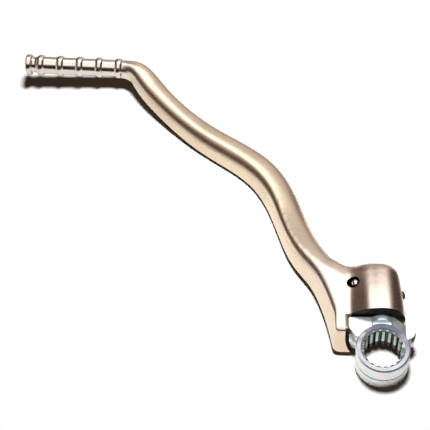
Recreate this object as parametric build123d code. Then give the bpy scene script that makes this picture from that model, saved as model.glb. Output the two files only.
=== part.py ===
from build123d import *
import math
import os

# Splined ring that clamps on the kick shaft; the hinge axis crosses its bore at height zero.
RING_DIA = 28.5
RING_ABOVE = 5.7
RING_BELOW = 12.2
RING_EDGE = 0.7
PARTING_HEIGHT = -3.8
PARTING_GROOVE = 0.45
SPLINE_TEETH = 19
SPLINE_ROOT_DIA = 22.1
SPLINE_TIP_DIA = 20.0
SPLINE_GAP_AT_TIP = 1.9
SPLINE_GAP_AT_ROOT = 1.2
BORE_CHAMFER = 0.6
BORE_LEAD_DIA = 24.4
BORE_LEAD_DEPTH = 3.0
FACING_DIA = 31.4

# Shoulder plate with the two stop lugs, resting on the hinge axis, and a web under each lug.
SHOULDER_THICKNESS = 5.2
SHOULDER_FRONT = 18.9
LUG_REACH = 17.8
LUG_BACK = 12.3
LUG_EDGE = 0.7
LUG_CORNER = 1.4
NOSE_PLACE = 10.5
NOSE_RADIUS = 5.6
WEB_DEPTH = 8.0
WEB_REACH = 17.2
WEB_DRAFT = 6.0
VALLEY_START = 5.2
VALLEY_END = 12.4
VALLEY_DEPTH = 3.6

# Stub shaft on which the arm folds.
STUB_DIA = 12.8
STUB_END = 45.0
STUB_CHAMFER = 0.8
COLLAR_DIA = 15.0
FOLD_ANGLE = 90.0
RUNNING_CLEARANCE = 0.05
PRESS_CLEARANCE = 0.02
STOP_CLEARANCE = 0.3
SWEEP_CLEARANCE = 0.55

# Hinge head of the arm: a tapered, domed boss round the stub.
HEAD_MOUTH = 19.5
HEAD_MOUTH_DIA = 26.0
HEAD_END = 52.5
HEAD_END_DIA = 20.6
HEAD_DOME_RADIUS = 8.5
BORE_END_ROOM = 1.0

# Heel that passes beside the knuckle, and the stop skirt under the shoulder plate.
HEEL_END = 5.2
HEEL_LOW = -11.2
HEEL_DRAFT = 14.0
HEEL_REACH = 27.5
HEEL_CORNER = 4.5
SKIRT_START = 14.7
SKIRT_ROOM = 0.6

# Saddle between head and arm: distances from the hinge axis, and for each place along that axis
# the height of its crown at these distances.
SADDLE_DEPTH = -5.0
SADDLE_ACROSS = [2.0, 5.0, 9.6, 14.4, 19.0, 23.0]
SADDLE_CROWNS = [
    (12.0, [12.9, 12.2, 10.8, 8.7, 6.4, 4.2]),
    (32.0, [11.6, 11.0, 9.7, 8.0, 6.1, 4.0]),
    (50.0, [5.0, 4.8, 4.4, 3.8, 3.2, 2.4]),
]

# Peg root, from the bore across to the foot and along the hinge axis, and the peg's lie from there.
ARM_ACROSS = 162.6
ARM_ALONG = 207.9
PEG_HEIGHT = 3.5
PEG_HEADING = 179.4
PEG_RISE = 4.2

# Arm sections. Each gives half widths to the outer and inner side at half height, how far the sides spread
# from there to the underside, underside height, crest height and crown radius. The first ones beside the
# head start with plan x and y, the others with their share of the way across and along to the peg root.
HEEL_SECTIONS = [
    (-16.0, -2.0, 7.6, 12.0, 1.7, -11.0, 6.8, 4.6),
    (-17.7, 9.0, 7.5, 14.0, 1.7, -11.1, 6.8, 4.6),
    (-20.0, 20.0, 7.4, 16.0, 1.7, -11.2, 6.9, 4.6),
    (-26.0, 38.0, 6.9, 18.0, 1.5, -11.3, 7.0, 4.8),
    (-31.6, 50.8, 7.4, 11.5, 1.2, -11.4, 7.0, 5.4),
]
ARM_SECTIONS = [
    (0.051, 0.078, 9.1, 9.3, 0.9, -11.7, 6.5, 6.0),
    (0.119, 0.209, 9.1, 9.1, 0.8, -12.5, 4.2, 6.6),
    (0.180, 0.351, 9.3, 9.3, 0.8, -13.0, 2.3, 7.0),
    (0.267, 0.477, 9.6, 9.6, 0.8, -13.3, 1.6, 7.0),
    (0.392, 0.572, 9.5, 9.5, 0.7, -13.3, 1.5, 7.0),
    (0.529, 0.655, 9.1, 9.1, 0.7, -12.9, 1.9, 7.0),
    (0.660, 0.747, 8.5, 8.5, 0.7, -11.2, 3.6, 6.8),
    (0.781, 0.847, 8.2, 8.2, 0.7, -8.0, 6.5, 6.6),
    (0.864, 0.930, 8.0, 8.0, 0.6, -4.9, 8.5, 6.2),
    (0.919, 0.979, 6.9, 6.9, 0.3, -3.1, 9.2, 5.8),
]
UNDERSIDE_RADIUS = 3.2

# Foot peg: a turned bar with five round ribs, a neck and an end collar.
PEG_DIA = 11.0
PEG_RIB_DIA = 13.2
PEG_RIBS = 5
PEG_RIB_PITCH = 13.0
PEG_RIB_WIDTH = 4.8
PEG_NECK_DIA = 9.8
PEG_NECK_WIDTH = 3.4
PEG_COLLAR_WIDTH = 3.6
PEG_COLLAR_EDGE = 1.0
PEG_ROUNDNESS = 0.98

# Retaining pin: leans over the saddle and passes the hinge axis at a distance, through a groove of the stub.
PIN_DIA = 4.6
PIN_PLACE = 38.8
PIN_OFFSET = 7.4
PIN_LEAN = 35.0
PIN_TOP = 15.2
PIN_TAIL = 3.0
PIN_DOME = 1.6
PIN_GROOVE_ROOM = 0.25
PIN_MOUTH_DIA = 6.2
PIN_MOUTH_DEPTH = 2.0

# Detent: ball and spring in a cross bore that a domed cup closes; the stub has a track and two pockets.
DETENT_PLACE = 34.2
DETENT_ANGLE = 7.0
DETENT_BALL_DIA = 3.2
DETENT_TRACK_DEPTH = 0.6
DETENT_POCKET_DEPTH = 0.4
DETENT_CLEARANCE = 0.1
PLUG_DIA = 4.6
PLUG_SEAT = 9.9
PLUG_FLOOR = 11.5
PLUG_PROUD = 1.5
PLUG_DOME = 1.7
PLUG_CUP_DIA = 3.2
PLUG_MOUTH_DIA = 5.8
PLUG_MOUTH_DEPTH = 0.5
SPRING_DIA = 2.65
SPRING_WIRE = 0.45
SPRING_WIRE_SIDES = 8
SPRING_TURNS = 3

# Dust seal in the mouth of the head.
SEAL_DIA = 23.6
SEAL_WIDTH = 2.4
SEAL_SINK = 0.4
SEAL_EDGE = 0.4

HINGE = Axis.Y
STUB_RADIUS = STUB_DIA / 2
COLLAR_RADIUS = COLLAR_DIA / 2
SWEEP_RADIUS = math.hypot(RING_DIA / 2, RING_BELOW) + SWEEP_CLEARANCE
BALL_RADIUS = DETENT_BALL_DIA / 2
BALL_PLACE = STUB_RADIUS - DETENT_TRACK_DEPTH + BALL_RADIUS + RUNNING_CLEARANCE
HEAD_SLOPE = (HEAD_MOUTH_DIA - HEAD_END_DIA) / 2 / (HEAD_END - HEAD_MOUTH)
PEG_ROOT = Vector(-ARM_ACROSS, ARM_ALONG, PEG_HEIGHT)
FAR = 300.0


def block(x_from, x_to, y_from, y_to, z_from, z_to):
    """A box between two corners."""
    size = (x_to - x_from, y_to - y_from, z_to - z_from)
    return Pos((x_from + x_to) / 2, (y_from + y_to) / 2, (z_from + z_to) / 2) * Box(*size)


def turned(*outline):
    """A solid turned round the hinge axis from (radius, distance along it) points."""
    return revolve(make_face(Polyline(*outline, close=True)), HINGE)


def hinge_disc(radius, y_from, y_to):
    return turned((0, y_from), (radius, y_from), (radius, y_to), (0, y_to))


def radial(angle, along, out):
    """Plane square to a line that leaves the hinge axis at an angle from +X towards +Z."""
    turn = math.radians(angle)
    way = Vector(math.cos(turn), 0, math.sin(turn))
    return Plane(origin=Vector(0, along, 0) + way * out, x_dir=(0, 1, 0), z_dir=way)


def leaning(rise):
    """Plane square to the retaining pin, counted from the pin's nearest point to the hinge axis."""
    lean = math.radians(PIN_LEAN)
    aside = Vector(-math.cos(lean), 0, -math.sin(lean))
    way = Vector(-math.sin(lean), 0, math.cos(lean))
    return Plane(origin=Vector(0, PIN_PLACE, 0) + aside * PIN_OFFSET + way * rise, x_dir=(0, 1, 0), z_dir=way)


def drilled(start, dia, length):
    """A round hole that starts in a plane."""
    return start * extrude(Circle(dia / 2), length)


def domed(start, dia, length, dome, cup_dia=0, cup_depth=0):
    """A round steel pin that stands on a plane, with a domed far end and maybe a cup in its foot."""
    r = dia / 2
    shank = length - dome
    ball = (r ** 2 + dome ** 2) / (2 * dome)
    part_way = math.sqrt(ball ** 2 - (r / 2) ** 2) - (ball - dome)
    with BuildSketch() as profile:
        with BuildLine():
            Polyline((0, length), (0, 0), (r, 0), (r, shank))
            ThreePointArc((r, shank), (r / 2, shank + part_way), (0, length))
        make_face()
    pin = Rot(90, 0, 0) * revolve(profile.sketch, Axis.Y)
    if cup_dia:
        pin -= extrude(Circle(cup_dia / 2), cup_depth)
    return start * pin


def spline_cut():
    """The toothed bore: a round hole to the tooth tips, a gap cut between each two teeth, and a deep lead-in below."""
    tip = SPLINE_TIP_DIA / 2
    root = SPLINE_ROOT_DIA / 2
    wide = SPLINE_GAP_AT_TIP / 2
    narrow = SPLINE_GAP_AT_ROOT / 2
    inside = tip - wide
    gap = Polyline((inside, -wide), (tip, -wide), (root, -narrow), (root, narrow), (tip, wide), (inside, wide),
                   close=True)
    bore = Circle(tip) + PolarLocations(0, SPLINE_TEETH) * make_face(gap)
    cut = extrude(Pos(0, 0, -RING_BELOW) * bore, RING_ABOVE + RING_BELOW)
    mouth = root + BORE_CHAMFER
    to_face = (Align.CENTER, Align.CENTER, Align.MAX)
    chamfer = Pos(0, 0, RING_ABOVE) * Cone(tip, mouth, mouth - tip, align=to_face)
    lead = Pos(0, 0, -RING_BELOW) * Rot(180, 0, 0) * Cone(tip, BORE_LEAD_DIA / 2, BORE_LEAD_DEPTH, align=to_face)
    over_face = Pos(0, 0, RING_ABOVE) * extrude(Circle(FACING_DIA / 2), COLLAR_RADIUS)
    return cut + over_face + chamfer + lead


def ring_blank():
    """Outside of the ring: edge chamfers and the line left where the forging dies met."""
    r = RING_DIA / 2
    g = PARTING_GROOVE
    outline = Polyline((0, -RING_BELOW), (r - RING_EDGE, -RING_BELOW), (r, RING_EDGE - RING_BELOW),
                       (r, PARTING_HEIGHT - g), (r - g, PARTING_HEIGHT), (r, PARTING_HEIGHT + g),
                       (r, RING_ABOVE - RING_EDGE), (r - RING_EDGE, RING_ABOVE), (0, RING_ABOVE), close=True)
    return revolve(make_face(Plane.XZ * outline), Axis.Z)


def shoulder():
    """Plate with a square stop lug on one side, a sloped valley and a rounded lug on the other, and webs below."""
    nose = LUG_REACH - NOSE_RADIUS
    with BuildSketch() as plan:
        with BuildLine():
            Polyline((-LUG_REACH, LUG_BACK), (-LUG_REACH, SHOULDER_FRONT), (STUB_RADIUS, SHOULDER_FRONT),
                     (nose, NOSE_PLACE + NOSE_RADIUS), (nose, 0), (-RING_DIA / 2, LUG_BACK - NOSE_RADIUS), close=True)
        make_face()
        fillet(plan.vertices().sort_by(Axis.X)[:2], LUG_CORNER)
        with Locations((nose, NOSE_PLACE)):
            Circle(NOSE_RADIUS)
    plate = extrude(plan.sketch, SHOULDER_THICKNESS)
    plate = fillet(plate.edges().group_by(Axis.Z)[-1], LUG_EDGE)
    valley = Polyline((VALLEY_START, SHOULDER_THICKNESS), (VALLEY_END, SHOULDER_THICKNESS),
                      (VALLEY_END, SHOULDER_THICKNESS - VALLEY_DEPTH), close=True)
    plate -= extrude(make_face(Plane.XZ * valley), FAR, both=True)
    corner = RING_DIA / 4
    outline = Polyline((0, 0), (WEB_REACH, corner), (WEB_REACH, LUG_BACK - LUG_CORNER), (0, LUG_BACK), close=True)
    web = extrude(make_face(outline), -WEB_DEPTH, taper=WEB_DRAFT)
    return plate + web + mirror(web, Plane.YZ)


def stub():
    """The hinge shaft on its collar, with the pin's groove, the ball's track and a pocket at each end of the fold."""
    r = STUB_RADIUS
    shaft = turned((0, 0), (COLLAR_RADIUS, 0), (COLLAR_RADIUS, SHOULDER_FRONT - LUG_EDGE),
                   (COLLAR_RADIUS - LUG_EDGE, SHOULDER_FRONT), (r, SHOULDER_FRONT), (r, STUB_END - STUB_CHAMFER),
                   (r - STUB_CHAMFER, STUB_END), (0, STUB_END))
    half = PIN_DIA / 2 + PIN_GROOVE_ROOM
    floor = PIN_OFFSET - half
    over = PIN_OFFSET
    shaft -= turned((floor, PIN_PLACE - half), (over, PIN_PLACE - half), (over, PIN_PLACE + half),
                    (floor, PIN_PLACE + half))
    room = BALL_RADIUS + DETENT_CLEARANCE
    shaft -= revolve(Pos(BALL_PLACE, DETENT_PLACE) * Circle(room), HINGE)
    for angle in (DETENT_ANGLE, DETENT_ANGLE + FOLD_ANGLE):
        shaft -= radial(angle, DETENT_PLACE, BALL_PLACE - DETENT_POCKET_DEPTH) * Sphere(room)
    return shaft


def splined_hub():
    return ring_blank() + shoulder() + stub() - spline_cut()


def arm_section(place, heading, outer, inner, spread, low, crest, crown, corner):
    """One rounded section across the arm, wider at the underside than at the crown."""
    across = Plane(origin=place, x_dir=(-math.sin(heading), math.cos(heading), 0),
                   z_dir=(math.cos(heading), math.sin(heading), 0))
    with BuildSketch(across) as section:
        with BuildLine():
            Polyline((outer + spread, low), (outer - spread, crest), (spread - inner, crest), (-inner - spread, low),
                     close=True)
        make_face()
        fillet(section.vertices().sort_by(Axis.Y)[2:], crown)
        fillet(section.vertices().sort_by(Axis.Y)[:2], corner)
    return section.sketch.face()


def arm_bar():
    """The S-shaped bar, lofted from the heel to the round root of the foot peg."""
    head_x, head_y = HEEL_SECTIONS[-1][:2]
    points = [Vector(x, y, 0) for x, y, *_ in HEEL_SECTIONS]
    points += [Vector(head_x + across * (PEG_ROOT.X - head_x), head_y + along * (PEG_ROOT.Y - head_y), 0)
               for across, along, *_ in ARM_SECTIONS]
    root = Vector(PEG_ROOT.X, PEG_ROOT.Y, 0)
    path = Spline(*points, root)
    faces = []
    for point, (_, _, *sizes) in zip(points, HEEL_SECTIONS + ARM_SECTIONS):
        way = path.tangent_at(path.param_at_point(point))
        faces.append(arm_section(point, math.atan2(way.Y, way.X), *sizes, UNDERSIDE_RADIUS))
    r = PEG_DIA / 2
    corner = PEG_ROUNDNESS * r
    low = PEG_ROOT.Z - r
    high = PEG_ROOT.Z + r
    faces.append(arm_section(root, math.radians(PEG_HEADING), r, r, 0, low, high, corner, corner))
    return loft(faces)


def saddle():
    """Slope from the head's crown down to the arm, lofted along the hinge axis."""
    faces = []
    first = -SADDLE_ACROSS[0]
    last = -SADDLE_ACROSS[-1]
    for along, heights in SADDLE_CROWNS:
        crown = [(-across, height) for across, height in zip(SADDLE_ACROSS, heights)]
        across_hinge = Plane(origin=(0, along, 0), x_dir=(1, 0, 0), z_dir=(0, -1, 0))
        with BuildSketch(across_hinge) as section:
            with BuildLine():
                Spline(*crown)
                Polyline(crown[-1], (last, SADDLE_DEPTH), (first, SADDLE_DEPTH), crown[0])
            make_face()
        faces.append(section.sketch.face())
    return loft(faces)


def foot_peg():
    """Turned along its own X axis, then laid at the peg's heading."""
    r = PEG_DIA / 2
    rib = PEG_RIB_DIA / 2
    edge = PEG_COLLAR_EDGE
    ribs_end = (PEG_RIBS - 1) * PEG_RIB_PITCH + PEG_RIB_WIDTH
    collar = ribs_end + PEG_NECK_WIDTH
    end = collar + PEG_COLLAR_WIDTH
    with BuildSketch() as profile:
        with BuildLine():
            Line((0, 0), (0, r))
            for k in range(PEG_RIBS):
                foot = k * PEG_RIB_PITCH
                ThreePointArc((foot, r), (foot + PEG_RIB_WIDTH / 2, rib), (foot + PEG_RIB_WIDTH, r))
            for k in range(PEG_RIBS - 1):
                Line((k * PEG_RIB_PITCH + PEG_RIB_WIDTH, r), ((k + 1) * PEG_RIB_PITCH, r))
            Polyline((ribs_end, r), (ribs_end + PEG_NECK_WIDTH / 2, PEG_NECK_DIA / 2), (collar, r),
                     (collar + edge, rib), (end - edge, rib), (end, rib - edge), (end, 0), (0, 0))
        make_face()
    return Pos(PEG_ROOT) * Rot(0, 0, PEG_HEADING) * Rot(0, -PEG_RISE, 0) * revolve(profile.sketch, Axis.X)


def head_radius(along):
    return HEAD_MOUTH_DIA / 2 + HEAD_SLOPE * (HEAD_MOUTH - along)


def head_blank():
    """Tapered boss with a domed end, run on past the mouth so that the arm merges into it all along."""
    wide = head_radius(0)
    with BuildSketch() as profile:
        with BuildLine():
            Polyline((0, 0), (wide, 0), (HEAD_END_DIA / 2, HEAD_END), (0, HEAD_END), close=True)
        make_face()
        fillet(profile.vertices().group_by(Axis.Y)[-1].sort_by(Axis.X)[-1:], HEAD_DOME_RADIUS)
    return revolve(profile.sketch, HINGE)


def heel_trim():
    """Everything past the sloping end of the heel, with its outer corner rounded in plan."""
    with BuildSketch() as past:
        with Locations((0, HEEL_CORNER)):
            Rectangle(FAR, FAR / 2, align=(Align.CENTER, Align.MAX))
        with Locations((-HEEL_REACH, 0)):
            RectangleRounded(FAR, FAR / 2, HEEL_CORNER, align=(Align.MIN, Align.MIN), mode=Mode.SUBTRACT)
    return Pos(0, HEEL_END, HEEL_LOW) * Rot(-HEEL_DRAFT, 0, 0) * extrude(past.sketch, FAR / 2, both=True)


def knuckle_room():
    """Space that the ring, the lugs and the stub need beside the heel through the whole fold."""
    above = block(-SWEEP_RADIUS, FAR, -FAR, HEAD_MOUTH, -STOP_CLEARANCE, FAR)
    ahead = block(-STOP_CLEARANCE, FAR, -FAR, HEAD_MOUTH, -FAR, FAR)
    around = hinge_disc(SWEEP_RADIUS, -FAR, SKIRT_START)
    return above + ahead + around + hinge_disc(COLLAR_RADIUS + SKIRT_ROOM, SKIRT_START, HEAD_MOUTH)


def head_bores():
    """Bore for the stub, seat for the seal, and the holes of the pin and of the detent."""
    cut = hinge_disc(STUB_RADIUS + RUNNING_CLEARANCE, HEAD_MOUTH, STUB_END + BORE_END_ROOM)
    cut += hinge_disc(SEAL_DIA / 2, HEAD_MOUTH, HEAD_MOUTH + SEAL_SINK + SEAL_WIDTH)
    cut += drilled(leaning(-PIN_TAIL), PIN_DIA + 2 * PRESS_CLEARANCE, FAR / 2)
    cut += drilled(leaning(PIN_TOP - PIN_MOUTH_DEPTH), PIN_MOUTH_DIA, FAR / 2)
    cut += drilled(radial(DETENT_ANGLE, DETENT_PLACE, 0), DETENT_BALL_DIA + 2 * DETENT_CLEARANCE, FAR)
    cut += drilled(radial(DETENT_ANGLE, DETENT_PLACE, PLUG_SEAT), PLUG_DIA + 2 * PRESS_CLEARANCE, FAR)
    mouth = head_radius(DETENT_PLACE) - PLUG_MOUTH_DEPTH
    return cut + drilled(radial(DETENT_ANGLE, DETENT_PLACE, mouth), PLUG_MOUTH_DIA, FAR)


def lever_arm():
    body = arm_bar() + head_blank() + saddle() + foot_peg()
    return body - knuckle_room() - heel_trim() - head_bores()


def retaining_pin():
    return domed(leaning(-PIN_TAIL), PIN_DIA, PIN_TOP + PIN_TAIL, PIN_DOME)


def detent_plug():
    seat = radial(DETENT_ANGLE, DETENT_PLACE, PLUG_SEAT)
    length = head_radius(DETENT_PLACE) + PLUG_PROUD - PLUG_SEAT
    return domed(seat, PLUG_DIA, length, PLUG_DOME, PLUG_CUP_DIA, PLUG_FLOOR - PLUG_SEAT)


def detent_spring():
    """Wire wound between the detent ball and the plug, resting on both."""
    wind = (SPRING_DIA - SPRING_WIRE) / 2
    half = SPRING_WIRE / 2
    low = BALL_PLACE + math.sqrt((BALL_RADIUS + half) ** 2 - wind ** 2)
    high = PLUG_FLOOR - half
    coil = Helix(pitch=(high - low) / SPRING_TURNS, height=high - low, radius=wind)
    section = RegularPolygon(half, SPRING_WIRE_SIDES)
    wire = sweep(Plane(origin=coil @ 0, z_dir=coil % 0) * section, path=coil, is_frenet=True)
    return radial(DETENT_ANGLE, DETENT_PLACE, low) * wire


def dust_seal():
    inside = STUB_RADIUS + RUNNING_CLEARANCE
    outside = SEAL_DIA / 2 - PRESS_CLEARANCE
    front = HEAD_MOUTH + SEAL_SINK
    back = front + SEAL_WIDTH
    return turned((inside, front + SEAL_EDGE), (inside + SEAL_EDGE, front), (outside - SEAL_EDGE, front),
                  (outside, front + SEAL_EDGE), (outside, back), (inside, back))


NODES = {
    "splined_hub": splined_hub(),
    "lever_arm": lever_arm(),
    "retaining_pin": retaining_pin(),
    "detent_plug": detent_plug(),
    "detent_spring": detent_spring(),
    "detent_ball": radial(DETENT_ANGLE, DETENT_PLACE, BALL_PLACE) * Sphere(BALL_RADIUS),
    "dust_seal": dust_seal(),
}

os.makedirs("parts", exist_ok=True)
for name, solid in NODES.items():
    export_step(solid, f"parts/{name}.step")
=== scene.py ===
import math

import bpy
import numpy as np
from mathutils import Matrix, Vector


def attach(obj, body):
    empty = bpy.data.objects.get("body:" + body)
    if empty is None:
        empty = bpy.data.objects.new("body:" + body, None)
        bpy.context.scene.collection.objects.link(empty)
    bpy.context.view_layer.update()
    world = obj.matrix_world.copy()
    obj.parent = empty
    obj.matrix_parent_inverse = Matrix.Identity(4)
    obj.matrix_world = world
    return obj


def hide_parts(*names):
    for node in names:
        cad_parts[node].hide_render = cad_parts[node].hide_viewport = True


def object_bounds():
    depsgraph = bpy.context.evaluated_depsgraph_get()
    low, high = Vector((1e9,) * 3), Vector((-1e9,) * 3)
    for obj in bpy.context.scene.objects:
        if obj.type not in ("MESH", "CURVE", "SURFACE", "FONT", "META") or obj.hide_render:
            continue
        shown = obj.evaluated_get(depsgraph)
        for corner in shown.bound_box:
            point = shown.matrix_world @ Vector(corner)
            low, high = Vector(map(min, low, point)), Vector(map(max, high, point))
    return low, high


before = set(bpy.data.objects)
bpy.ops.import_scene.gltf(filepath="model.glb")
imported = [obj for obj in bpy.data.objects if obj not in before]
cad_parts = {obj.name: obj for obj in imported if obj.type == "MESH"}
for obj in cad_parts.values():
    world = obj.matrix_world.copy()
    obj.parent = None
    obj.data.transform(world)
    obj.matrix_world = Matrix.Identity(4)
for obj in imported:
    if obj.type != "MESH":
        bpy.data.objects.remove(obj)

cad_box = [[float(v) for v in corner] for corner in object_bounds()]


# Splined hub: a steel forging, broached to fit the toothed kick shaft and turned on its faces.
# It is plated with bright zinc, whose thin blue passivation shows violet on the faces
# and green in the bore. The lower bore and the roots between its teeth are painted near black as shade.
class Shade:
    """One value in a node tree. Arithmetic on it adds Math nodes, and node() adds any other node."""

    def __init__(self, tree, socket=None):
        self.tree = tree
        self.socket = socket

    def node(self, kind, settings, sockets, out=0):
        """Adds a node, sets its settings, then feeds its sockets with numbers, colours or other values."""
        made = self.tree.nodes.new("ShaderNode" + kind)
        for name, value in settings.items():
            setattr(made, name, value)
        for name, value in sockets.items():
            if isinstance(value, Shade):
                self.tree.links.new(value.socket, made.inputs[name])
            else:
                made.inputs[name].default_value = value
        return Shade(self.tree, made.outputs[out] if made.outputs else None)

    def maths(self, operation, first, second):
        return self.node("Math", {"operation": operation}, {0: first, 1: second})

    def __add__(self, other):
        return self.maths("ADD", self, other)

    __radd__ = __add__

    def __mul__(self, other):
        return self.maths("MULTIPLY", self, other)

    __rmul__ = __mul__

    def __sub__(self, other):
        return self.maths("SUBTRACT", self, other)

    def __rsub__(self, other):
        return self.maths("SUBTRACT", other, self)

    def step(self, low, high):
        """0 below low, 1 above high, and a soft step between."""
        return self.node("MapRange", {"interpolation_type": "SMOOTHSTEP"},
                         {"Value": self, "From Min": low, "From Max": high})

    def part(self, axis):
        """One component of a vector."""
        return self.node("SeparateXYZ", {}, {0: self}, "XYZ".index(axis))

    def noise(self, scale, detail=2.0):
        """Soft noise from 0 to 1 at so many waves to the metre."""
        return self.node("TexNoise", {}, {"Vector": self, "Scale": scale, "Detail": detail})

    def mix(self, factor, first, second):
        """A colour between two colours."""
        return self.node("Mix", {"data_type": "RGBA"}, {0: factor, 6: first, 7: second}, 2)


def metal(name, shine):
    """A metal material: gives the material, its shader node and the place on the object."""
    made = bpy.data.materials.new(name)
    made.use_nodes = True
    tree = made.node_tree
    shader = tree.nodes["Principled BSDF"]
    shader.inputs["Metallic"].default_value = 1.0
    shader.inputs["Roughness"].default_value = shine
    return made, shader, Shade(tree).node("TexCoord", {}, {}, "Object")


def feed(shader, **values):
    """Links values to a shader's sockets."""
    for name, value in values.items():
        value.tree.links.new(value.socket, shader.inputs[name.replace("_", " ")])


def dress(node, material):
    """Gives a CAD node's object one material."""
    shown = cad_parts[node]
    shown.data.materials.clear()
    shown.data.materials.append(material)


def grain(place, scale, depth):
    """A fine bump of noise."""
    height = place.noise(scale, 3.0)
    return place.node("Bump", {}, {"Strength": 0.35, "Distance": depth, "Height": height})


BORE_ROOT = 0.01175
RING_R = 0.01425
RING_TOP = 0.0057
ZINC = (0.74, 0.74, 0.72, 1.0)
ZINC_CYAN = (0.62, 0.73, 0.75, 1.0)
ZINC_VIOLET = (0.15, 0.145, 0.23, 1.0)
ZINC_VIOLET_PALE = (0.52, 0.52, 0.57, 1.0)
ZINC_GREEN = (0.40, 0.53, 0.46, 1.0)
BORE_PAINTED_SHADE = (0.012, 0.012, 0.011, 1.0)

zinc, zinc_shader, spot = metal("zinc plate", 0.28)
zinc_shader.inputs["Metallic"].default_value = 0.86
spread = spot.noise(90.0)
flat_place = spot.node("VectorMath", {"operation": "MULTIPLY"}, {0: spot, 1: (1.0, 1.0, 0.0)})
off_axis = spot.node("VectorMath", {"operation": "LENGTH"}, {0: flat_place}, "Value")
high = spot.part("Z")
in_bore = 1.0 - off_axis.step(BORE_ROOT - 0.0003, BORE_ROOT + 0.0002)
in_bore = in_bore * (1.0 - high.step(0.0034, 0.0040))
in_ring = 1.0 - off_axis.step(RING_R - 0.0001, RING_R + 0.0002)
on_face = high.step(RING_TOP - 0.00012, RING_TOP - 0.00004) * in_ring
far_side = spot.part("Y").step(-0.010, 0.008) * spread.step(0.30, 0.55)
violet = spot.mix(far_side, ZINC_VIOLET_PALE, ZINC_VIOLET)
tint = spot.mix(spread.step(0.42, 0.62), ZINC, ZINC_CYAN)
tint = spot.mix(on_face, tint, violet)
tint = spot.mix(in_bore * spread.step(0.25, 0.50), tint, ZINC_GREEN)
# Painted shade: the lower part of the bore and the roots between the teeth are painted near black for the
# shadow that falls there.
lower_bore_painted_shade = (1.0 - high.step(-0.0056, -0.0044)) * (1.0 - off_axis.step(0.0123, 0.0125))
tooth_roots_painted_shade = in_bore * off_axis.step(0.0105, 0.0108)
tint = spot.mix(spot.maths("MAXIMUM", lower_bore_painted_shade, tooth_roots_painted_shade), tint, BORE_PAINTED_SHADE)
satin = 0.18 + 0.22 * spot.noise(260.0)
feed(zinc_shader, Base_Color=tint, Roughness=satin + 0.14 * on_face, Normal=grain(spot, 2600.0, 0.00004))
dress("splined_hub", zinc)

# Dust seal: a moulded ring of black rubber, pressed into the mouth of the head round the stub.
# It keeps grit out of the hinge and wipes the stub as the arm folds.
rubber, rubber_shader, spot = metal("seal rubber", 0.6)
rubber_shader.inputs["Metallic"].default_value = 0.0
RUBBER = (0.012, 0.012, 0.013, 1.0)
RUBBER_DUST = (0.030, 0.029, 0.028, 1.0)
dusty = spot.mix(spot.noise(400.0), RUBBER, RUBBER_DUST)
feed(rubber_shader, Base_Color=dusty, Normal=grain(spot, 3000.0, 0.00005))
dress("dust_seal", rubber)

# Lever arm: one aluminium forging with the hinge head, the heel that passes the knuckle
# and the S-shaped bar. It is blasted and anodised a pale champagne; only the mouth,
# the bores and the knuckle's room are machined.
MM = 0.001
CHAMPAGNE = (0.77, 0.64, 0.48, 1.0)
CHAMPAGNE_DEEP = (0.71, 0.585, 0.435, 1.0)
TURNED_BRIGHT = (0.80, 0.74, 0.65, 1.0)
ROSE_PAINTED_REFLECTION = (0.76, 0.635, 0.54, 1.0)
PAINTED_DARK = (0.018, 0.014, 0.012, 1.0)

PIN_LEAN = math.radians(35.0)
PIN_SIDE = 7.4
PIN_PLACE = 38.8
PIN_TOP = 15.2
PLUG_TURN = math.radians(7.0)
PLUG_PLACE = 34.2
PLUG_FACE = 11.3
PIN_RIM = 3.5
PLUG_RIM = 3.3
pin_way = np.array([-math.sin(PIN_LEAN), 0.0, math.cos(PIN_LEAN)])
pin_foot = np.array([-math.cos(PIN_LEAN) * PIN_SIDE, PIN_PLACE, -math.sin(PIN_LEAN) * PIN_SIDE])
plug_way = np.array([math.cos(PLUG_TURN), 0.0, math.sin(PLUG_TURN)])
plug_foot = np.array([0.0, PLUG_PLACE, 0.0])


def near_bore(place, foot, way, radius):
    """1 inside a radius of a bore's axis and outwards of its foot: the radius is compared with the length
    of the cross product of the place and the bore's way."""
    rest = place.node("VectorMath", {"operation": "SUBTRACT"}, {0: place, 1: tuple(foot * MM)})
    aside = place.node("VectorMath", {"operation": "CROSS_PRODUCT"}, {0: rest, 1: tuple(way)})
    away = place.node("VectorMath", {"operation": "LENGTH"}, {0: aside}, "Value")
    out = place.node("VectorMath", {"operation": "DOT_PRODUCT"}, {0: rest, 1: tuple(way)}, "Value")
    return (1.0 - away.step(radius * MM - 0.0001, radius * MM + 0.0001)) * out.step(0.006, 0.007)


champagne, champagne_shader, spot = metal("champagne anodised", 0.24)
along_hinge = spot.part("Y")
upward = spot.part("Z")
cloud = spot.noise(60.0, 4.0)
drawn = spot.node("VectorMath", {"operation": "MULTIPLY"}, {0: spot, 1: (0.12, 1.0, 0.35)})
turned_end = (0.0 - spot.part("X")).step(0.147, 0.160)
tone = spot.mix(cloud.step(0.35, 0.7), CHAMPAGNE, CHAMPAGNE_DEEP)
# Painted reflection: the top of the head is tinted rose, standing in for the reflection seen there.
head_top_painted_tint = (1.0 - along_hinge.step(0.046, 0.080)) * upward.step(0.001, 0.006)
tone = spot.mix(head_top_painted_tint, tone, ROSE_PAINTED_REFLECTION)
tone = spot.mix(turned_end, tone, TURNED_BRIGHT)
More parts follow.
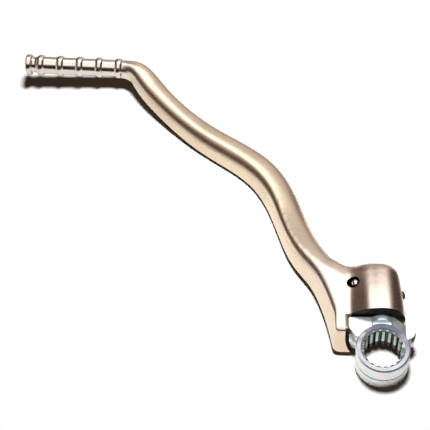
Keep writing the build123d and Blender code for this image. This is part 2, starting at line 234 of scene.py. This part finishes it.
# Painted shade: the mouth's end face and the rims round the pin and plug bores are painted near black for
# the shade in the mouth and the counterbores.
mouth_painted_shade = along_hinge.step(0.0188, 0.0192) * (1.0 - along_hinge.step(0.01965, 0.01985))
mouth_painted_shade = mouth_painted_shade * upward.step(-0.0004, 0.0004) * spot.part("X").step(-0.0165, -0.0155)
bore_rims_painted_shade = spot.maths("MAXIMUM", near_bore(spot, pin_foot, pin_way, PIN_RIM),
                  near_bore(spot, plug_foot, plug_way, PLUG_RIM))
tone = spot.mix(spot.maths("MAXIMUM", bore_rims_painted_shade, mouth_painted_shade), tone, PAINTED_DARK)
satin = 0.22 + 0.05 * spot.noise(500.0) + 0.08 * drawn.noise(1400.0)
feed(champagne_shader, Base_Color=tone, Roughness=satin - 0.08 * turned_end,
     Normal=grain(drawn, 2200.0, 0.00003))

# Sections of the bar in millimetres: plan x and y, half widths to the outer and inner side at half height,
# spread to the underside, underside height, crest height, crown radius on the outer and the inner side,
# and how far the crest falls from the outer to the inner side.
BAR = np.array([
    (-16.0, -2.0, 7.6, 12.0, 1.7, -11.0, 6.8, 4.6, 5.0, 0.0),
    (-17.7, 9.0, 7.5, 14.0, 1.7, -11.1, 6.8, 4.6, 5.0, 0.0),
    (-20.0, 20.0, 7.4, 16.0, 1.7, -11.2, 6.9, 4.6, 5.5, 0.0),
    (-26.0, 38.0, 6.9, 18.0, 1.5, -11.3, 7.0, 4.8, 9.0, 0.0),
    (-31.6, 50.8, 7.4, 11.5, 1.2, -11.4, 7.0, 5.4, 11.0, 0.0),
    (-38.3, 63.1, 9.1, 9.3, 0.9, -11.7, 6.5, 6.0, 11.0, 1.5),
    (-47.2, 83.6, 9.1, 9.1, 0.8, -12.5, 4.2, 5.0, 10.5, 3.0),
    (-55.2, 105.9, 9.3, 9.3, 0.8, -13.0, 2.3, 7.0, 10.5, 1.2),
    (-66.6, 125.7, 9.6, 9.6, 0.8, -13.3, 1.6, 7.0, 10.5, 0.0),
    (-83.0, 140.7, 9.5, 9.5, 0.7, -13.3, 1.5, 7.0, 10.5, 0.0),
    (-100.9, 153.7, 9.1, 9.1, 0.7, -12.9, 1.9, 7.0, 10.0, 0.8),
    (-118.1, 168.2, 8.5, 8.5, 0.7, -11.2, 3.6, 6.8, 9.2, 2.2),
    (-133.9, 183.9, 8.2, 8.2, 0.7, -8.0, 6.5, 6.6, 8.4, 2.2),
    (-144.8, 196.9, 8.0, 8.0, 0.6, -4.9, 8.5, 6.2, 7.6, 1.2),
    (-152.0, 204.6, 6.9, 6.9, 0.3, -3.1, 9.2, 5.8, 6.2, 0.0),
    (-162.6, 207.9, 5.5, 5.5, 0.0, -2.0, 9.0, 5.4, 5.4, 0.0),
    (-166.0, 207.93, 5.5, 5.5, 0.0, -1.75, 9.25, 5.4, 5.4, 0.0),
])
UNDERSIDE = 3.2
BAR_STEPS = 420
HEEL_END = 5.2
HEEL_LOW = -11.2
HEEL_DRAFT = math.tan(math.radians(14.0))
HEEL_CORNER = 4.5
HEEL_REACH = 27.5
HEAD_FOOT = 8.0
HEAD_MOUTH = 19.5
HEAD_MOUTH_R = 13.0
HEAD_END = 52.5
HEAD_END_R = 10.3
HEAD_DOME = 8.5


def through(knots, values, at):
    """Natural cubic spline: second slopes solve the usual three-band system, then each span is a cubic."""
    h = np.diff(knots)
    n = len(knots)
    bands = np.eye(n)
    rows = np.arange(1, n - 1)
    bands[rows, rows - 1] = h[:-1]
    bands[rows, rows] = 2 * (h[:-1] + h[1:])
    bands[rows, rows + 1] = h[1:]
    side = np.zeros_like(values)
    slope = np.diff(values, axis=0) / h[:, None]
    side[1:-1] = 6 * (slope[1:] - slope[:-1])
    bend = np.linalg.solve(bands, side)
    k = np.clip(np.searchsorted(knots, at) - 1, 0, n - 2)
    a = ((knots[k + 1] - at) / h[k])[:, None]
    b = 1 - a
    return (a * values[k] + b * values[k + 1]
            + ((a ** 3 - a) * bend[k] + (b ** 3 - b) * bend[k + 1]) * (h[k, None] ** 2) / 6)


def rounded(corners, radii, steps):
    """Outlines with rounded corners: each corner becomes an arc whose ray turns from one edge's outward
    normal to the next one's, about a centre set back along the corner's bisector by the radius over the
    sine of the half angle."""
    back = np.roll(corners, 1, axis=1) - corners
    ahead = np.roll(corners, -1, axis=1) - corners
    back = back / np.linalg.norm(back, axis=2, keepdims=True)
    ahead = ahead / np.linalg.norm(ahead, axis=2, keepdims=True)
    half = np.arccos(np.clip((back * ahead).sum(2), -1, 1)) / 2
    bisector = back + ahead
    bisector = bisector / np.linalg.norm(bisector, axis=2, keepdims=True)
    centre = corners + bisector * (radii / np.sin(half))[:, :, None]
    turn = np.linspace(1, -1, steps) * (math.pi / 2 - half)[:, :, None]
    side = np.stack([-bisector[:, :, 1], bisector[:, :, 0]], axis=2)
    ray = -bisector[:, :, None] * np.cos(turn)[..., None] + side[:, :, None] * np.sin(turn)[..., None]
    return (centre[:, :, None] + ray * radii[:, :, None, None]).reshape(len(corners), -1, 2)


def tube(rings):
    """A closed surface through rings of points, with a flat face on each end."""
    rows, cols, _ = rings.shape
    index = np.arange(rows * cols).reshape(rows, cols)
    a, b = index[:-1], index[1:]
    quads = np.stack([a, np.roll(a, -1, 1), np.roll(b, -1, 1), b], axis=2).reshape(-1, 4)
    return rings.reshape(-1, 3), quads.tolist() + [index[0][::-1].tolist(), index[-1].tolist()]


def mesh_of(name, *surfaces):
    """One mesh of several closed surfaces, from millimetres, with faces turned outwards."""
    points = []
    faces = []
    for verts, polys in surfaces:
        faces += [[k + sum(len(p) for p in points) for k in poly] for poly in polys]
        points.append(verts)
    mesh = bpy.data.meshes.new(name)
    mesh.from_pydata((np.concatenate(points) * MM).tolist(), [], faces)
    return mesh


def shown(name, mesh):
    made = bpy.data.objects.new(name, mesh)
    bpy.context.scene.collection.objects.link(made)
    return made


def turned(profile, steps=72):
    """A surface turned round the hinge axis: every (radius, place) point runs once round +Y."""
    angle = np.linspace(0, 2 * math.pi, steps, endpoint=False)
    x = profile[:, :1] * np.cos(angle)
    z = profile[:, :1] * np.sin(angle)
    y = np.repeat(profile[:, 1:], steps, axis=1)
    return tube(np.stack([x, y, z], axis=2)[:, ::-1])


def bar_surface():
    """The bar: rounded sections stand square to a spline in plan, and the heel's end is held behind
    a slope with a rounded corner."""
    plan = BAR[:, :2]
    knots = np.concatenate([[0], np.cumsum(np.linalg.norm(np.diff(plan, axis=0), axis=1))])
    at = np.linspace(knots[0], knots[-1], BAR_STEPS)
    rows = through(knots, BAR, at)
    way = np.gradient(rows[:, :2], axis=0)
    way = way / np.linalg.norm(way, axis=1, keepdims=True)
    outer, inner, flare, low, crest, crown, slope, lean = rows[:, 2:].T
    corners = np.stack([np.stack([outer + flare, low], 1),
                        np.stack([outer - flare, crest], 1),
                        np.stack([flare - inner, crest - lean], 1),
                        np.stack([-inner - flare, low], 1)], axis=1)
    under = np.full_like(crown, UNDERSIDE)
    loops = rounded(corners, np.stack([under, crown, slope, under], 1), 10)
    side = np.stack([-way[:, 1], way[:, 0]], axis=1)
    xy = rows[:, None, :2] + side[:, None] * loops[:, :, :1]
    points = np.concatenate([xy, loops[:, :, 1:]], axis=2)
    past = np.clip((HEEL_CORNER - HEEL_REACH) - points[:, :, 0], 0, HEEL_CORNER)
    heel = HEEL_END + (points[:, :, 2] - HEEL_LOW) * HEEL_DRAFT
    heel = heel + HEEL_CORNER - np.sqrt(HEEL_CORNER ** 2 - past ** 2)
    points[:, :, 1] = np.maximum(points[:, :, 1], heel)
    return tube(points)


def head_radius(along):
    """The head's radius: full at the mouth, then falling with the square of the distance from it."""
    share = (along - HEAD_MOUTH) / (HEAD_END - HEAD_MOUTH)
    return HEAD_MOUTH_R - (HEAD_MOUTH_R - HEAD_END_R) * np.clip(share, 0, None) ** 2


def head_surface():
    """The hinge head: the radius above, closed by a quarter-circle dome, turned round the hinge axis."""
    along = np.linspace(HEAD_FOOT, HEAD_END - HEAD_DOME, 16)
    arc = np.linspace(0, math.pi / 2, 12)[1:]
    edge = head_radius(HEAD_END - HEAD_DOME)
    dome_r = edge - HEAD_DOME + HEAD_DOME * np.cos(arc)
    dome_y = HEAD_END - HEAD_DOME + HEAD_DOME * np.sin(arc)
    r = np.concatenate([[0.3], head_radius(along), dome_r, [0.3]])
    place = np.concatenate([[HEAD_FOOT], along, dome_y, [HEAD_END]])
    return turned(np.column_stack([r, place]))


SADDLE_TOP = 4.5
SADDLE_FOOT = 19.0
SADDLE_WIDTH = 25.0
SADDLE_START = 10.0
SADDLE_ROLL = 44.0
SADDLE_ROLL_R = 9.5
SADDLE_SWEEP = 6.0
SADDLE_BEND = 12.0
SADDLE_FLOOR = -5.0
CREST = 7.0


def saddle_surface():
    """The blend from head to bar: its height eases from the head's top to the bar's crest by a smooth step
    across, and its far end rolls down on a quarter circle that lies further back, by a square law, towards
    the bar."""
    across = np.linspace(1.0, SADDLE_WIDTH, 44)
    share = np.clip((SADDLE_FOOT - across) / (SADDLE_FOOT - SADDLE_TOP), 0, 1)
    share = share * share * (3 - 2 * share)
    bend = np.clip((across - SADDLE_BEND) / (SADDLE_WIDTH - SADDLE_BEND), 0, 1)
    roll = SADDLE_ROLL + SADDLE_SWEEP * bend ** 2
    run = np.linspace(0, 1, 24)[:, None]
    arc = np.linspace(0, math.pi / 2, 16)[1:, None]
    straight = SADDLE_START + (roll - SADDLE_START) * run
    along = np.concatenate([straight, roll + SADDLE_ROLL_R * np.sin(arc)])
    drop = np.concatenate([0 * run, SADDLE_ROLL_R * (1 - np.cos(arc))])
    top = head_radius(np.minimum(along, SADDLE_ROLL)) - 0.2
    crown = CREST - 0.4 + (top - CREST) * share - drop
    x = np.repeat(np.concatenate([-across, -across[::-1]])[None], len(along), axis=0)
    y = np.concatenate([along, along[:, ::-1]], axis=1)
    z = np.concatenate([crown, np.full_like(crown, SADDLE_FLOOR)], axis=1)
    return tube(np.stack([x, y, z], axis=2)[:, ::-1])


def baked(thing):
    """The mesh of an object with its modifiers applied."""
    thing.update_tag()
    graph = bpy.context.evaluated_depsgraph_get()
    return bpy.data.meshes.new_from_object(thing.evaluated_get(graph))


def cylinder(start, way, radius, length, steps=64):
    """A closed round bar from a start point along a way."""
    way = np.array(way, float) / np.linalg.norm(way)
    first = np.cross(way, np.roll(np.abs(way), 1) + np.array([0.0, 0.1, 0.3]))
    first = first / np.linalg.norm(first)
    second = np.cross(way, first)
    angle = np.linspace(0, 2 * math.pi, steps, endpoint=False)
    ring = radius * (np.cos(angle)[:, None] * first + np.sin(angle)[:, None] * second)
    ends = np.array([start, np.array(start) + way * length])
    return tube(ends[:, None] + ring[None])


def brick(low, high):
    """A closed block between two corners."""
    (x0, y0, z0), (x1, y1, z1) = low, high
    ring = np.array([(x0, y0), (x0, y1), (x1, y1), (x1, y0)])[::-1]
    return tube(np.stack([np.column_stack([ring, np.full(4, z)]) for z in (z0, z1)]))


VOXEL = 0.00065
SOFTENING = 24
FAR = 90.0
SWEEP = 19.3
STUB_ROOM = 6.45
STUB_DEPTH = 27.5
COLLAR_ROOM = 8.1
COLLAR_START = 10.0
SEAL_R = 11.8
SEAL_DEPTH = 3.8
SKIRT_START = 14.7
STOP_GAP = 0.3
PRESS_BORE = 2.32
PIN_TAIL = 3.0
PIN_SINK = 2.0
PLUG_MOUTH = 2.9

forging = shown("lever_forging", mesh_of("lever_forging", bar_surface(), head_surface(), saddle_surface()))
melt = forging.modifiers.new("melt", "REMESH")
melt.mode = "VOXEL"
melt.voxel_size = VOXEL
soften = forging.modifiers.new("soften", "SMOOTH")
soften.factor = 0.5
soften.iterations = SOFTENING
forging.data = baked(forging)
forging.modifiers.clear()

cuts = [
    brick((-SWEEP, -FAR, -STOP_GAP), (FAR, HEAD_MOUTH, FAR)),
    brick((-STOP_GAP, -FAR, -FAR), (FAR, HEAD_MOUTH, FAR)),
    cylinder((0, -FAR, 0), (0, 1, 0), SWEEP, FAR + SKIRT_START, 128),
    cylinder((0, COLLAR_START, 0), (0, 1, 0), COLLAR_ROOM, HEAD_MOUTH - COLLAR_START),
    cylinder((0, HEAD_MOUTH - 1, 0), (0, 1, 0), SEAL_R, SEAL_DEPTH),
    cylinder((0, HEAD_MOUTH - 1, 0), (0, 1, 0), STUB_ROOM, STUB_DEPTH),
    cylinder(pin_foot - PIN_TAIL * pin_way, pin_way, PRESS_BORE, 40.0),
    cylinder(pin_foot + (PIN_TOP - PIN_SINK) * pin_way, pin_way, PIN_RIM - 0.1, 30.0),
    cylinder(plug_foot, plug_way, PRESS_BORE, 30.0),
    cylinder(plug_foot + PLUG_FACE * plug_way, plug_way, PLUG_MOUTH, 30.0),
]
tools = []
for number, cut in enumerate(cuts):
    tool = shown(f"cutter_{number}", mesh_of("cutter", cut))
    carve = forging.modifiers.new("carve", "BOOLEAN")
    carve.operation = "DIFFERENCE"
    carve.solver = "EXACT"
    carve.object = tool
    tools.append(tool)
forging.data = baked(forging)
forging.modifiers.clear()
for tool in tools:
    bpy.data.objects.remove(tool)
forging.data.shade_smooth()
forging.data.set_sharp_from_angle(angle=math.radians(32.0))
forging.data.materials.clear()
forging.data.materials.append(champagne)
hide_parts("lever_arm")
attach(forging, "arm")

# Foot peg: the end of the same forging, turned between centres to a ribbed grip with a necked collar.
# The lathe leaves it brighter than the blasted bar.
PEG_ROOT = np.array([-162.6, 207.9, 3.5])
PEG_HEADING = math.radians(179.4)
PEG_RISE = math.radians(4.2)
PEG_R = 5.5
RIB_R = 6.6
RIBS = 5
FIRST_RIB = -0.5
RIB_PITCH = 13.0
RIB_WIDTH = 4.8
NECK_R = 4.9
NECK_WIDTH = 3.5
COLLAR_WIDTH = 4.0
COLLAR_ROUND = 1.5


def run_round(foot, way, flat, along, r, steps):
    """A surface of (place, radius) points run once round an axis; flat is a way square to that axis."""
    upright = np.cross(way, flat)
    angle = np.linspace(0, 2 * math.pi, steps, endpoint=False)
    ring = np.cos(angle)[:, None] * flat + np.sin(angle)[:, None] * upright
    return tube(foot + along[:, None, None] * way + r[:, None, None] * ring[None])


def peg_surface():
    """The grip, run round the peg's own axis: ribs are arcs, the neck dips by a sine and the collar swells
    by a flattened half ellipse of the fourth power."""
    bump = np.linspace(0, 1, 15)
    arc_r = ((RIB_R - PEG_R) ** 2 + (RIB_WIDTH / 2) ** 2) / (2 * (RIB_R - PEG_R))
    rise = np.sqrt(arc_r ** 2 - ((bump - 0.5) * RIB_WIDTH) ** 2) - (arc_r - (RIB_R - PEG_R))
    starts = FIRST_RIB + RIB_PITCH * np.arange(RIBS)[:, None]
    neck = FIRST_RIB + (RIBS - 1) * RIB_PITCH + RIB_WIDTH
    collar = neck + NECK_WIDTH
    end = collar + COLLAR_WIDTH
    share = np.sin(np.linspace(-math.pi / 2, math.pi / 2, 25))[1:]
    middle = (collar + end) / 2
    places = [[-2.0], (starts + bump * RIB_WIDTH).ravel(), neck + bump[1:] * NECK_WIDTH,
              middle + COLLAR_WIDTH / 2 * share, [end]]
    radii = [[PEG_R - 0.3], np.tile(PEG_R + rise, RIBS),
             PEG_R - (PEG_R - NECK_R) * np.sin(bump[1:] * math.pi),
             RIB_R - COLLAR_ROUND * (1 - np.sqrt(1 - share ** 4)), [0.2]]
    along = np.concatenate(places)
    r = np.concatenate(radii)
    axis = np.array([math.cos(PEG_HEADING) * math.cos(PEG_RISE),
                     math.sin(PEG_HEADING) * math.cos(PEG_RISE), math.sin(PEG_RISE)])
    flat = np.array([-math.sin(PEG_HEADING), math.cos(PEG_HEADING), 0.0])
    return run_round(PEG_ROOT, axis, flat, along, r, 96)


peg = shown("foot_peg", mesh_of("foot_peg", peg_surface()))
peg.data.shade_smooth()
peg.data.set_sharp_from_angle(angle=math.radians(32.0))
peg.data.materials.append(champagne)
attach(peg, "arm")

# Retaining pin, detent plug, ball and spring: hardened steel, pressed in or trapped in the head's
# cross bores. Only the domed ends show: the pin's is polished; the plug's cap is painted dark for its dark
# reflection, with a painted highlight spot.
steel, steel_shader, spot = metal("polished steel", 0.08)
STEEL = (0.80, 0.80, 0.81, 1.0)
STEEL_GREY = (0.70, 0.70, 0.72, 1.0)
feed(steel_shader, Base_Color=spot.mix(spot.noise(900.0), STEEL, STEEL_GREY),
     Roughness=0.06 + 0.06 * spot.noise(1500.0))
for node in ("retaining_pin", "detent_spring", "detent_ball"):
    dress(node, steel)

PAINTED_HIGHLIGHT = (0.85, 0.85, 0.86, 1.0)
CAP_SEAT = 11.5
CAP_START = 11.6
CAP_R = 2.7
CAP_DOME = 2.1


def plug_surface():
    """The plug's cap: a half ellipse that stands out of the bore, run once round the bore's own axis."""
    arc = np.linspace(0, math.pi / 2, 14)
    along = np.concatenate([[CAP_SEAT, CAP_SEAT], CAP_START + CAP_DOME * np.sin(arc)])
    r = np.concatenate([[0.1, CAP_R], CAP_R * np.cos(arc) + 0.02])
    return run_round(plug_foot, plug_way, np.array([0.0, 1.0, 0.0]), along, r, 48)


# Painted reflection: the cap is painted near black for the dark it reflects, with a painted highlight spot
# near its top.
painted_cap, painted_cap_shader, spot = metal("blackened steel", 0.15)
painted_glint_place = (plug_foot + CAP_START * plug_way + CAP_R * np.array([0.4, -0.25, 0.75])) * MM
painted_glint = spot.node("VectorMath", {"operation": "DISTANCE"}, {0: spot, 1: tuple(painted_glint_place)}, "Value")
feed(painted_cap_shader, Base_Color=spot.mix(painted_glint.step(0.0009, 0.0013), PAINTED_HIGHLIGHT, PAINTED_DARK))
plug = shown("detent_cap", mesh_of("detent_cap", plug_surface()))
plug.data.shade_smooth()
plug.data.materials.append(painted_cap)
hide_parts("detent_plug")
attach(plug, "arm")

# Studio: a plain white table under soft light from above, in a room with a bright window and ceiling
# and dark sides. The camera sees only the table near the lever; reflections also see a wider one
# just under it.
scene = bpy.context.scene
TABLE = cad_box[0][2] - 0.00035
UNDER_TABLE = TABLE - 0.0001
TABLE_TOP = [
    (0.022, -0.036), (0.022, 0.058), (-0.014, 0.062), (-0.033, 0.089), (-0.042, 0.112), (-0.055, 0.135),
    (-0.073, 0.152), (-0.092, 0.166), (-0.108, 0.179), (-0.123, 0.194), (-0.134, 0.207), (-0.150, 0.221),
    (-0.165, 0.225), (-0.255, 0.225), (-0.255, 0.180), (-0.160, 0.172), (-0.137, 0.147), (-0.118, 0.132),
    (-0.101, 0.119), (-0.088, 0.108), (-0.081, 0.094), (-0.073, 0.073), (-0.056, 0.037), (-0.048, 0.015),
    (-0.044, -0.020), (-0.030, -0.036)]
TABLE_ALL = [(-0.34, -0.16), (0.021, -0.16), (0.021, 0.06), (-0.12, 0.228), (-0.34, 0.228)]
tables = []
for name, points, level in (("table_top", TABLE_TOP, TABLE), ("table", TABLE_ALL, UNDER_TABLE)):
    table_mesh = bpy.data.meshes.new(name)
    table_mesh.from_pydata([(x, y, level) for x, y in points], [], [list(range(len(points)))])
    tables.append(shown(name, table_mesh))
tables[1].visible_camera = False


def light_path(start):
    """What kind of ray asks: seen by the camera, by gloss, through glass, or after a diffuse bounce."""
    kinds = ("Camera", "Glossy", "Transmission")
    asks = [start.node("LightPath", {}, {}, f"Is {kind} Ray") for kind in kinds]
    return asks + [start.maths("MINIMUM", start.node("LightPath", {}, {}, "Diffuse Depth"), 1.0)]


paper = bpy.data.materials.new("white table")
paper.use_nodes = True
paper.node_tree.nodes.clear()
start = Shade(paper.node_tree)
camera_ray, glossy_ray, clear_ray, bounced = light_path(start)
seen = start.maths("MAXIMUM", start.maths("MAXIMUM", camera_ray, glossy_ray), clear_ray)
white = start.mix(glossy_ray, (0.88, 0.88, 0.88, 1.0), (0.64, 0.63, 0.62, 1.0))
white = start.mix(glossy_ray * bounced, white, (0.10, 0.07, 0.05, 1.0))
matt = start.node("BsdfDiffuse", {}, {"Color": white})
lift = start.node("Emission", {}, {"Color": (1.0, 0.55, 0.25, 1.0), "Strength": seen * 0.015})
start.node("OutputMaterial", {}, {0: start.node("AddShader", {}, {0: matt, 1: lift})})
for table in tables:
    table.data.materials.append(paper)

world = bpy.data.worlds.new("studio")
scene.world = world
world.use_nodes = True
world.node_tree.nodes.clear()
start = Shade(world.node_tree)
way = start.node("TexCoord", {}, {}, "Generated")
side = way.part("X")
behind = way.part("Y")
height = way.part("Z")
to_right = 1.0 - side.step(0.38, 0.74)
to_back = 1.0 - behind.step(0.54, 0.74)
ceiling = side.step(-0.66, -0.14) * to_right * behind.step(-0.72, -0.52) * to_back
ceiling = ceiling * height.step(0.25, 0.55)
window = side.step(-0.55, -0.16) * to_right * behind.step(0.38, 0.48) * to_back
back_wall = behind.step(0.62, 0.80) * (0.07 + 0.62 * side.step(-0.46, 0.05))
back_wall = back_wall * (1.0 - side.step(0.46, 0.72)) * (0.62 + 0.38 * height.step(-0.10, 0.30))
low_left = (1.0 - side.step(-0.95, -0.80)) * (1.0 - height.step(0.12, 0.46))
low_left = low_left * (0.7 + 0.6 * behind.step(-0.10, 0.25))
dim = 0.02 + 0.065 * behind.step(-0.98, -0.60)
glow = dim + 1.2 * ceiling + 1.8 * window + back_wall + 1.2 * low_left
warmth = start.mix(glow.step(0.0, 1.1), (1.0, 0.68, 0.60, 1.0), (1.0, 1.0, 1.0, 1.0))
camera_ray, glossy_ray, clear_ray, bounced = light_path(start)
seen = start.maths("MAXIMUM", glossy_ray, clear_ray)
mirrored = start.node("Background", {}, {"Color": warmth, "Strength": glow * (1.0 - 0.9 * bounced)})
ambient = start.node("Background", {}, {"Color": (1.0, 0.75, 0.55, 1.0), "Strength": 0.015})
backdrop = start.node("Background", {}, {"Color": (1.0, 1.0, 1.0, 1.0), "Strength": 1.0})
lit = start.node("MixShader", {}, {0: seen, 1: ambient, 2: mirrored})
start.node("OutputWorld", {}, {0: start.node("MixShader", {}, {0: camera_ray, 1: lit, 2: backdrop})})

lamp = bpy.data.lights.new("overhead", "AREA")
lamp.size = 0.10
lamp.energy = 5.6
overhead = shown("overhead", lamp)
overhead.location = (-0.03, 0.078, 0.54)
overhead.visible_glossy = False

FOCAL_PIXELS = 975.0
FRAME_PIXELS = 430.0
CAMERA_PLACE = (-0.03722, -0.24903, 0.45995)
camera_data = bpy.data.cameras.new("camera")
camera_data.sensor_width = 36.0
camera_data.sensor_fit = "HORIZONTAL"
camera_data.lens = FOCAL_PIXELS / FRAME_PIXELS * camera_data.sensor_width
camera_data.clip_start = 0.01
camera = shown("camera", camera_data)
look = np.array([-0.0984, 0.5902, -0.8012])
look = look / np.linalg.norm(look)
right = np.array([0.9951, 0.0590, -0.0788])
right = right - look * (right @ look)
right = right / np.linalg.norm(right)
top = np.cross(right, look)
turn = Matrix([[right[k], top[k], -look[k]] for k in range(3)]).to_4x4()
camera.matrix_world = Matrix.Translation(CAMERA_PLACE) @ turn
scene.camera = camera
scene.view_settings.view_transform = "Standard"
